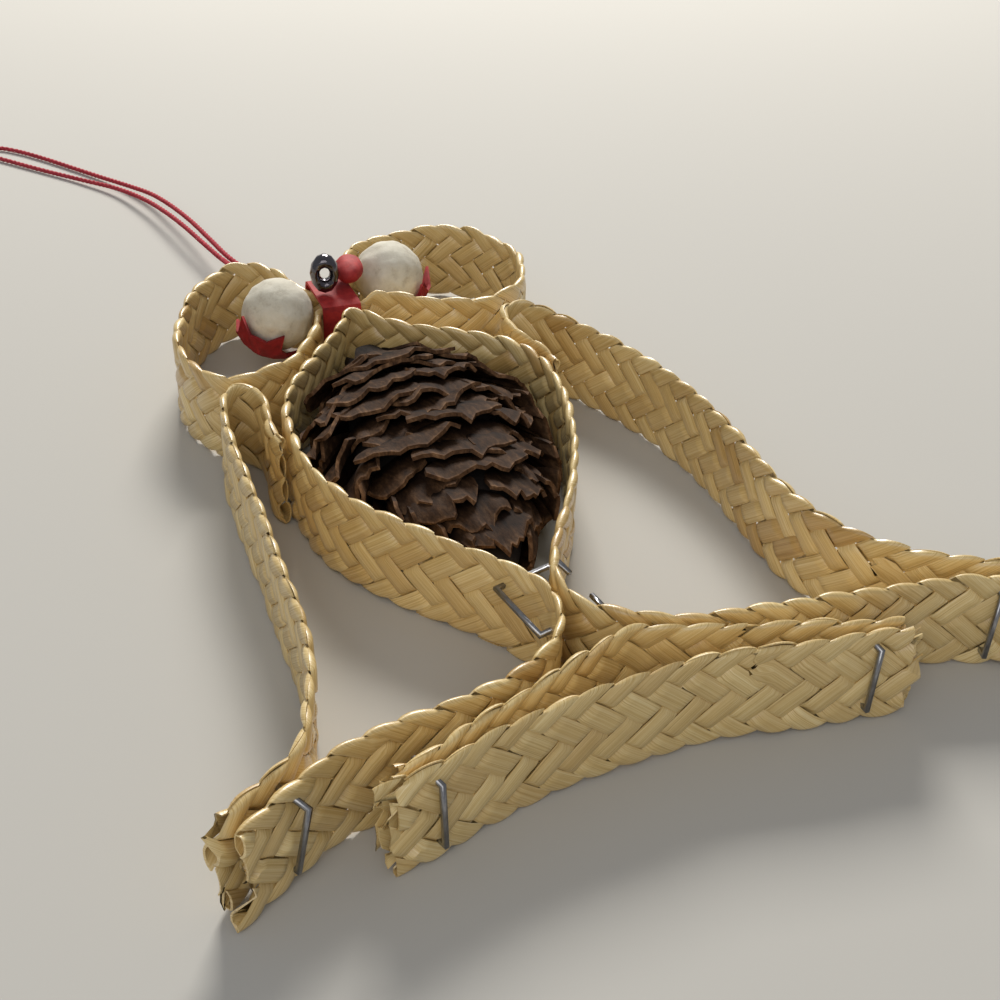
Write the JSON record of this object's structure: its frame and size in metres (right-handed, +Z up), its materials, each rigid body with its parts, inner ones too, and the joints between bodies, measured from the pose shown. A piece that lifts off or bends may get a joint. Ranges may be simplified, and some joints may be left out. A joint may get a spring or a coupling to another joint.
{
  "type": "straw_ornament",
  "caption": "A flat Christmas bell of plaited straw with a bow, a pine cone as its clapper, two white balls with red cups, a red ribbon and a red hanger thread.",
  "frame": {"origin": "The middle of the bell's footprint on the surface that it lies on", "axes": "+X points to the bell's right and +Y from the rim to the bow, along the table; +Z points up, away from the table"},
  "size_m": [0.1082, 0.2264, 0.0208],
  "materials": {
    "straw": "satin",
    "cone": "matte",
    "cotton": "matte",
    "red_felt": "matte",
    "red_thread": "matte",
    "steel_wire": "satin",
    "dark_steel": "glossy"
  },
  "bodies": {
    "root": {"bow_band": "straw", "cone_band": "straw", "side_band_left": "straw", "side_band_right": "straw", "rim_band_upper": "straw", "rim_band_lower": "straw", "pine_cone": "cone", "cotton_ball_left": "cotton", "cotton_ball_right": "cotton", "red_cup_left": "red_felt", "red_cup_right": "red_felt", "ribbon_wrap": "red_felt", "ribbon_knot": "red_felt", "steel_ring": "dark_steel", "tip_staple": "steel_wire", "left_foot_staple": "steel_wire", "right_foot_staple": "steel_wire", "rim_left_staple": "steel_wire", "rim_right_staple": "steel_wire", "hanger_thread": "red_thread"}
  },
  "joints": []
}
